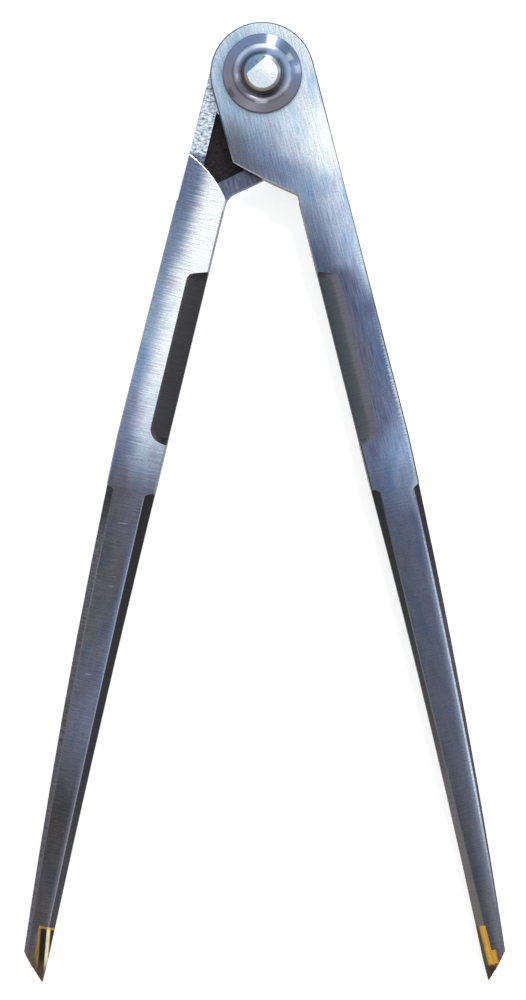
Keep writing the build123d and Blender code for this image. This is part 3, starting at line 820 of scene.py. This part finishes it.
# Tints: two, painted reflection on either side, and the direction of the second in degrees. Wedges: painted
# glints and painted shade, and one brown stain on the washer: clock angle in degrees from the head's top, half
# width,
# strength, radii in mm, tint. Stain: tint, mm, and the noise it lies at
turnedFinishes = {
    "washerSteel": {         # brightened with emery while it turned: fine rings, with painted shade on the inner slope and painted glints
        "paintedReflectionTints": ("#7B7986", "#7588A8", 70.0),
        "rings": [(0.49, "#8C8C8C"), (0.53, "#C8C8C8"), (0.60, "#DADADA"), (0.70, "#DADADA"),
                  (0.735, "#CCCCCC"), (0.752, "#8C8C8C"), (0.77, "#B8B8B8"), (0.975, "#B8B8B8"),
                  (1.0, "#7A7A7A")],
        "glintShadeAndStainWedges": [(50.0, 105.0, 0.55, 5.2, 6.5, "#B4C8E2"), (180.0, 55.0, 0.75, 5.2, 6.4, "#20262C"),
                   (232.0, 26.0, 0.6, 6.3, 7.4, "#3C424E"), (315.0, 32.0, 0.45, 6.4, 7.4, "#DCE8F2"),
                   (40.0, 15.0, 0.75, 7.5, 9.9, "#5E7286"), (15.0, 10.0, 0.7, 7.1, 9.9, "#E8F1F8"),
                   (4.0, 34.0, 0.9, 6.3, 7.4, "#E8F1F8"), (60.0, 9.0, 0.4, 7.2, 8.6, "#E8F1F8"),
                   (83.0, 11.0, 0.25, 8.4, 9.6, "#E8F1F8"), (112.0, 24.0, 0.35, 6.8, 7.5, "#E8F1F8"),
                   (182.0, 16.0, 0.5, 6.9, 7.6, "#E8F1F8"), (238.0, 12.0, 0.6, 8.8, 9.9, "#4A3C40")],
        "spread": 0.9, "roughness": 0.34, "ringPitch": 0.16, "swing": 0.08, "bump": 0.004,
        "stain": ("#3C2A22", 1.3, 0.70, 0.78)},
    "rivetSteel": {          # round of the closed head, smooth and warm grey, darker towards its edge as painted shade, with a painted glint
        "paintedReflectionTints": ("#8C8584", "#97A6B4", 70.0),
        "rings": [(0.38, "#BCBCBC"), (0.44, "#B0B0B0"), (0.49, "#787878")],
        "glintShadeAndStainWedges": [(30.0, 25.0, 0.4, 4.0, 5.1, "#E6EEF4")],
        "spread": 0.9, "roughness": 0.36, "ringPitch": 0.25, "swing": 0.08, "bump": 0.004,
        "stain": ("#57504E", 0.6, 0.62, 0.76)},
    "rivetFlat": {           # its flat end, nearly white and mottled by the hammer, bluer on one side as painted reflection, with a painted highlight
        "paintedReflectionTints": ("#CFD9E3", "#E6EDF4", 60.0),
        "rings": [(0.0, "#BCBCBC")],
        "glintShadeAndStainWedges": [(45.0, 60.0, 0.9, 1.2, 4.2, "#FFFFFF")],
        "spread": 0.0, "roughness": 0.38, "ringPitch": 0.5, "swing": 0.04, "bump": 0.001,
        "stain": ("#A6B4C4", 0.4, 0.50, 0.74)},
    "rivetFacet": {          # the sheared facet, painted blue as the reflection it shows
        "paintedReflectionTints": ("#68809A", "#7DA6C0", 20.0),
        "rings": [(0.0, "#BCBCBC")],
        "glintShadeAndStainWedges": [],
        "spread": 0.0, "roughness": 0.36, "ringPitch": 0.4, "swing": 0.06, "bump": 0.001,
        "stain": ("#58626E", 0.9, 0.5, 0.7)},
}


def turnedSteel(name):
    # bright turned steel: rings round the axis spread each lamp's glint along the radius
    s = turnedForm | turnedFinishes[name]
    material, tree = newMaterial(name)
    place = addNode(tree, "ShaderNodeTexCoord").outputs["Object"]
    flat = addNode(tree, "ShaderNodeVectorMath", {0: place, 1: (1 / mm, 1 / mm, 0.0)},
                   operation="MULTIPLY").outputs[0]
    radius = addNode(tree, "ShaderNodeVectorMath", {0: flat}, operation="LENGTH").outputs["Value"]
    # two tints that turn with direction round the axis: painted reflection, bluer on one side
    warm, cool, turn = s["paintedReflectionTints"]
    aside = addNode(tree, "ShaderNodeVectorRotate", {"Vector": flat, "Angle": math.radians(-turn)},
                    rotation_type="Z_AXIS")
    unit = addNode(tree, "ShaderNodeVectorMath", {0: aside.outputs[0]}, operation="NORMALIZE")
    lean = addNode(tree, "ShaderNodeSeparateXYZ", {0: unit.outputs[0]}).outputs["X"]
    colour = layTint(tree, srgb(warm), cool, 1.0, [(lean, -s["tintSpan"], s["tintSpan"])], "SMOOTHSTEP")
    # each step of the profile holds its own grey, painted shade and highlight of its slopes; twice middle grey,
    # #BCBCBC, leaves the colour as it is
    out = addNode(tree, "ShaderNodeMath", {0: radius, 1: 1 / s["ringSpan"]}, operation="MULTIPLY")
    grey = addNode(tree, "ShaderNodeValToRGB", {"Fac": out.outputs[0]}, stops=s["rings"])
    ringPlace = addNode(tree, "ShaderNodeMath", {0: radius, 1: 1 / s["ringPitch"]}, operation="MULTIPLY")
    rings = addNode(tree, "ShaderNodeTexNoise", {"W": ringPlace.outputs[0], "Scale": 1.0, "Detail": 2.0},
                    noise_dimensions="1D").outputs["Fac"]
    low, high = streakLevels
    swing = addNode(tree, "ShaderNodeMapRange", {
        "Value": rings, "From Min": low, "From Max": high,
        "To Min": 2 * (1 - s["swing"]), "To Max": 2 * (1 + s["swing"])})
    level = addNode(tree, "ShaderNodeMath", {0: grey.outputs[0], 1: swing.outputs[0]}, operation="MULTIPLY")
    colour = addNode(tree, "ShaderNodeVectorMath", {0: colour, "Scale": level.outputs[0]},
                     operation="SCALE").outputs[0]
    outside, inside = s["wedgeEdge"]
    # wedges at a clock angle: painted glints and painted shade, and the washer's one stain
    for clock, width, share, near, far, tint in s["glintShadeAndStainWedges"]:
        aim, least = math.radians(clock), math.cos(math.radians(width))
        away = addNode(tree, "ShaderNodeVectorMath", {0: flat, 1: (math.sin(aim), math.cos(aim), 0.0)},
                       operation="DOT_PRODUCT")
        away = addNode(tree, "ShaderNodeMath", {0: away.outputs["Value"], 1: radius}, operation="DIVIDE")
        share = fadeShare(tree, share, [(away.outputs[0], least, 1.0)], "SMOOTHSTEP")
        colour = layTint(tree, colour, tint, share, [(radius, near - outside, near + inside),
                                                     (radius, far + outside, far - inside)])
    tint, size, none, full = s["stain"]
    spots = addNode(tree, "ShaderNodeTexNoise", {"Vector": place, "Scale": 1 / (size * mm), "Detail": 3.0})
    colour = layTint(tree, colour, tint, s["stainShare"], [(spots.outputs["Fac"], none, full)])
    tangent = addNode(tree, "ShaderNodeTangent", direction_type="RADIAL", axis="Z")
    finishMetal(tree, rings, s["bump"], {
        "Base Color": colour, "Roughness": s["roughness"], "Anisotropic": s["spread"],
        "Anisotropic Rotation": 0.25, "Tangent": tangent.outputs[0]})   # a quarter turn, so along the radius
    return material


turned = {name: turnedSteel(name) for name in turnedFinishes}


def spunProfile(points, steps):
    # a closed profile of (radius, height) in mm, turned round the pivot axis
    bm = bmesh.new()
    verts = [bm.verts.new((radius * mm, 0.0, height * mm)) for radius, height in points]
    closed = points[0][0] > 0
    edges = [bm.edges.new(pair) for pair in zip(verts, verts[1:] + verts[:1] if closed else verts[1:])]
    bmesh.ops.spin(bm, geom=verts + edges, cent=(0, 0, 0), axis=(0, 0, 1), angle=2 * math.pi, steps=steps,
                   use_merge=True)
    bmesh.ops.remove_doubles(bm, verts=bm.verts, dist=0.001 * mm)
    bmesh.ops.recalc_face_normals(bm, faces=bm.faces)
    return bm


def ringEdges(bm, radius, height):
    # the circular edge at this radius and height, both in mm
    return [e for e in bm.edges if all(abs(v.co.xy.length / mm - radius) < samePlace and
                                       abs(v.co.z / mm - height) < samePlace for v in e.verts)]


def makeWasher(name, node, s, side):
    # side is 1 for the washer on the front and -1 for the one on the back
    low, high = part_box(node)
    rings = [s[ring] for ring in ("rim", "shelf", "crestOuter", "crestInner", "floor")]
    bm = spunProfile([(s["bore"], 0.0), (s["rim"][0], 0.0), *rings, (s["bore"], s["floor"][1])], s["steps"])
    for ring, amount, segments in s["rounded"]:
        roundEdges(bm, ringEdges(bm, *s[ring]), amount, segments)
    for vert in bm.verts:
        vert.co.z = low.z + vert.co.z if side > 0 else high.z - vert.co.z
    bm.normal_update()
    bmesh.ops.recalc_face_normals(bm, faces=bm.faces)
    addPiece(bm, name, "left", node, [turned["washerSteel"]])


def makeRivet(name, node, s):
    top, seat, flat = s["height"], s["height"] - s["headHeight"], (s["head"] - s["round"]) * mm
    profile = [(0.0, 0.0), *[(radius, 0.0) for radius in s["flatRings"]], (s["head"], 0.0),
               (s["head"], s["headHeight"]), (s["shank"], s["headHeight"]), (s["shank"], seat), (s["head"], seat),
               (s["head"], top), *[(radius, top) for radius in reversed(s["flatRings"])], (0.0, top)]
    bm = spunProfile(profile, s["steps"])
    for height in (0.0, top):
        roundEdges(bm, ringEdges(bm, s["head"], height), s["round"], s["roundSegments"])
    for vert in bm.verts:
        if vert.co.xy.length < flat and vert.co.z > seat * mm:
            depth = 0.5 + 0.5 * noise.noise(vert.co * (s["dentScale"] / mm))   # 0 to 1
            vert.co.z -= depth * s["dent"] * mm
    turn, tilt = math.radians(s["facetTurn"]), math.radians(s["facetTilt"])
    away = Vector((math.cos(turn), math.sin(turn), 0.0))
    slope = away * math.sin(tilt) + Vector((0.0, 0.0, math.cos(tilt)))
    place = away * s["facetAt"] * mm + Vector((0.0, 0.0, (top - s["dent"]) * mm))
    bmesh.ops.bisect_plane(bm, geom=[*bm.faces, *bm.edges, *bm.verts], dist=cutReach, plane_co=place,
                           plane_no=slope, clear_outer=True)
    made = bmesh.ops.holes_fill(bm, edges=[e for e in bm.edges if e.is_boundary], sides=0)
    bm.normal_update()
    used = ["rivetSteel", "rivetFlat", "rivetFacet"]
    for face in bm.faces:
        finish = "rivetFlat" if face.calc_center_median().xy.length < flat else "rivetSteel"
        face.material_index = used.index(finish)
    for face in made["faces"]:
        face.material_index = used.index("rivetFacet")
    addPiece(bm, name, "left", node, [turned[finish] for finish in used])


makeWasher("frontWasher", "front_washer", washerForm, 1)
makeWasher("rearWasher", "rear_washer", washerForm, -1)
makeRivet("pivotRivet", "pivot_rivet", rivetForm)
print("washers and rivet turned")

# Points: sintered carbide, stained by the brazing heat; the pale and dark stripes along the left one are painted
# highlight and shade, as on a shiny round bar. The braze is yellow brass, in a seam beside it, and ran over the
# right one in a crust
pointFinishes = {
    "leftPointFront": {
        "over": overPoint, "ends": [(230.6, 233.6, "#54453C", 0.9), (223.3, 222.9, "#CFA044", 0.6)],
        "swing": 0.15, "roughness": 0.34, "pitch": 0.6, "length": 2.0, "turn": 80.0, "bump": 0.01,
        "run": [(0.18, "#33291F"), (0.23, "#7A5230"), (0.28, "#EAE0C4"), (0.39, "#DDD2A8"), (0.44, "#2C2B25"),
                (0.69, "#262722"), (0.76, "#A07A44"), (0.86, "#8A7050"), (0.92, "#5E5853")]},
    "rightPointFront": {
        "over": overPatch, "ends": [(232.4, 233.1, "#45372E", 1.0)],
        "swing": 0.12, "pitch": 0.7, "length": 1.2, "turn": 60.0, "bump": 0.02,
        "run": [(0.16, "#4B4632"), (0.23, "#A88440"), (0.36, "#C6983A"), (0.48, "#BE9140"), (0.60, "#CF9F40"),
                (0.72, "#A8843C")]},
    "carbideSide": {"run": [(0.9, "#4A433E")], "swing": 0.15, "turn": 90.0, "bump": 0.006},
    "brazeSide": {
        "run": [(0.9, "#A8803A")], "swing": 0.2, "roughness": 0.42, "pitch": 0.6, "length": 1.5, "turn": 80.0,
        "bump": 0.02},
}
pointMaterials = [plainSteel(name, own) for name, own in pointFinishes.items()]
pointNames = list(pointFinishes)


def makeEnd(name, side, body, node, front, rest):
    bm = packedCopy(node)
    bm.normal_update()
    for face in bm.faces:
        upright = abs(face.normal.z) < slopes["wall"]
        face.material_index = pointNames.index(rest if upright else front)
    mapPlace(bm, side)
    bm.loops.layers.uv.new("legMargin")
    addPiece(bm, name, body, node, pointMaterials)


makeEnd("leftPoint", -1, "left", "left_carbide_point", "leftPointFront", "carbideSide")
makeEnd("rightPoint", 1, "right", "right_carbide_point", "rightPointFront", "carbideSide")
makeEnd("leftBraze", -1, "left", "left_braze", "leftPointFront", "brazeSide")
makeEnd("rightBraze", 1, "right", "right_braze", "rightPointFront", "brazeSide")
print("points brazed in")
